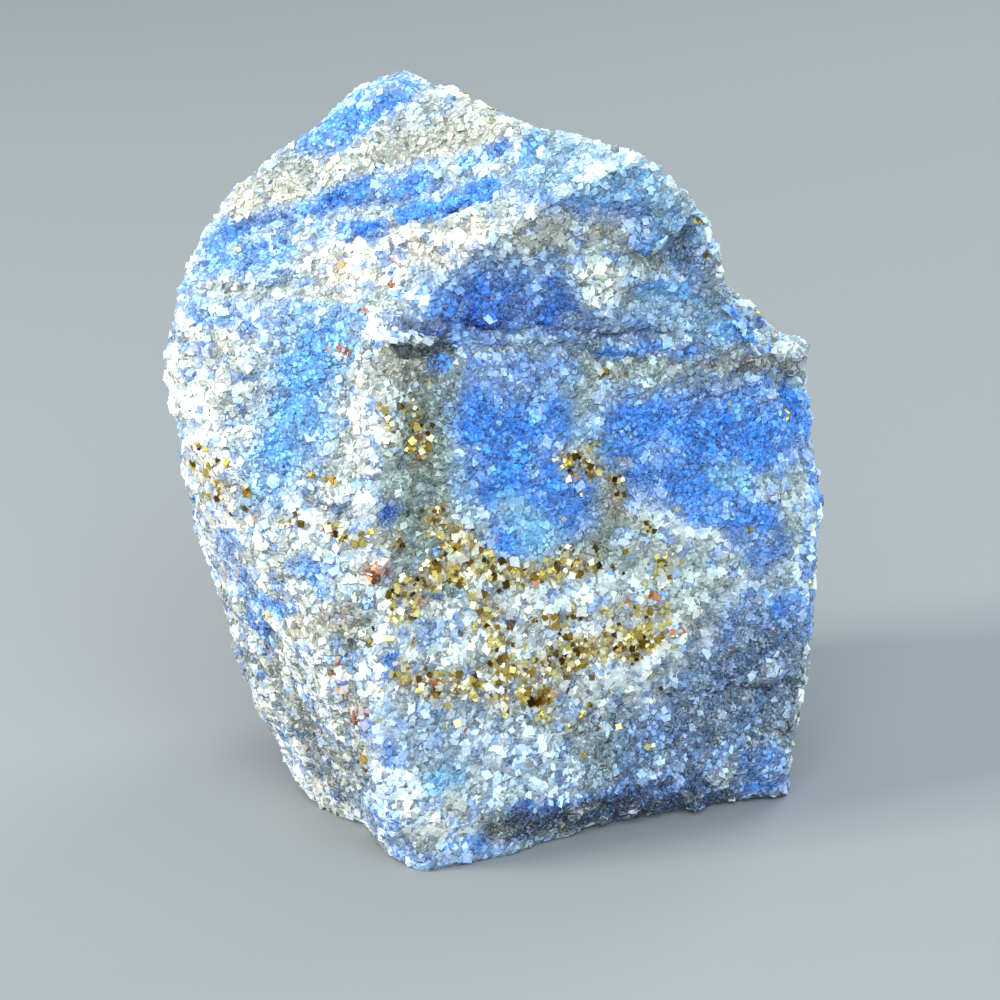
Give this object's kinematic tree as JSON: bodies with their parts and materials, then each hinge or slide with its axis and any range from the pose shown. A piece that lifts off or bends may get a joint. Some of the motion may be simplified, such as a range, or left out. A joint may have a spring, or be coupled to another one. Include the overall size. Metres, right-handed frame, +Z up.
{
  "type": "raw lapis lazuli",
  "caption": "Rough, unpolished lump of blue lapis lazuli with grey calcite bands and gold pyrite specks, broken on every side and standing on a small flat foot.",
  "frame": {"origin": "on the ground, under the middle of the stone's box", "axes": "+Z up, along the stone's height; the widest broken face looks towards -Y and +X is the stepped right shoulder"},
  "size_m": [0.0512, 0.041, 0.0584],
  "materials": {
    "lapis_rock": "rough broken rock: sugary blue lazurite with white and grey calcite grains and fine pyrite"
  },
  "bodies": {
    "root": {"lapis_lazuli": "lapis_rock"}
  },
  "joints": []
}
